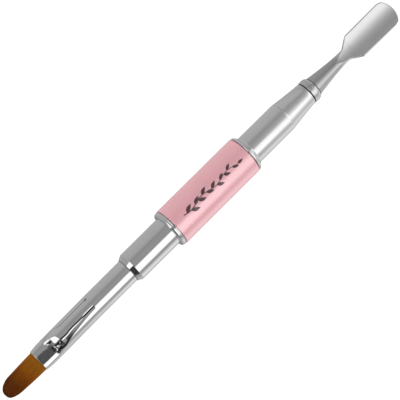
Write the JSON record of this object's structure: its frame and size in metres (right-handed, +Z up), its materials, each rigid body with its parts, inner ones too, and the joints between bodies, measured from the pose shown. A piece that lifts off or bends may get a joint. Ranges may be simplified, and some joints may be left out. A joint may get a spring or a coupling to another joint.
{
  "type": "double-ended nail brush and spatula",
  "caption": "Slim metal hand tool with a crimped filbert gel brush at one end, a hollowed steel spatula at the other and a pink barrel between chromed sleeves.",
  "frame": {"origin": "under the middle of the tool's length, on the surface that the barrel rests on", "axes": "+X along the tool from the brush to the spatula, +Z up, out of the hollow side of the blade and a flat of the ferrule"},
  "size_m": [0.162, 0.0124, 0.0125],
  "materials": {
    "chrome": "mirror plated",
    "pink_anodised": "satin pink anodised tube with a dark printed sprig",
    "satin_steel": "satin, fine lengthwise grain",
    "polished_steel": "half polished",
    "brass": "machined",
    "aluminium": "drawn tube",
    "rubber": "matt black",
    "hair": "golden brown hair, darker towards the tip",
    "thread": "waxed thread",
    "resin": "cast resin"
  },
  "bodies": {
    "handle": {"barrel": "pink_anodised", "core_tube": "aluminium", "brush_collar": "chrome", "spatula_collar": "chrome", "brush_sleeve": "chrome", "tapered_sleeve": "chrome", "brush_insert": "brass", "spatula_insert": "brass"},
    "brush_seal": {"brush_seal": "rubber"},
    "brush_head": {"ferrule": "chrome", "ferrule_stud": "brass", "hair_root": "hair", "root_binding": "thread", "glue_plug": "resin"},
    "tuft": {"bristle_tuft": "hair"},
    "spatula_seal": {"spatula_seal": "rubber"},
    "spatula_head": {"bolster": "polished_steel", "spatula": "satin_steel"}
  },
  "joints": [
    {"name": "brush_seal_slide", "type": "slide", "parent": "handle", "child": "brush_seal", "axis": [-1, 0, 0], "range_m": [0, 0.0048]},
    {"name": "brush_head_turn", "type": "hinge", "parent": "brush_seal", "child": "brush_head", "pos_m": [-0.0311, 0, 0.00623], "axis": [-1, 0, 0], "range_deg": [0, 2162]},
    {"name": "tuft_bend", "type": "hinge", "parent": "brush_head", "child": "tuft", "pos_m": [-0.06915, 0, 0.00623], "axis": [0, 1, 0], "range_deg": [-30, 30], "stiffness_Nm_per_rad": 0.003},
    {"name": "spatula_seal_slide", "type": "slide", "parent": "handle", "child": "spatula_seal", "axis": [1, 0, 0], "range_m": [0, 0.0049]},
    {"name": "spatula_head_turn", "type": "hinge", "parent": "spatula_seal", "child": "spatula_head", "pos_m": [0.0436, 0, 0.00623], "axis": [1, 0, 0], "range_deg": [0, 2522]}
  ],
  "couplings": [
    {"joint": "brush_head_turn", "follows": "brush_seal_slide", "rad_per_m": 7854},
    {"joint": "spatula_head_turn", "follows": "spatula_seal_slide", "rad_per_m": 8976}
  ]
}
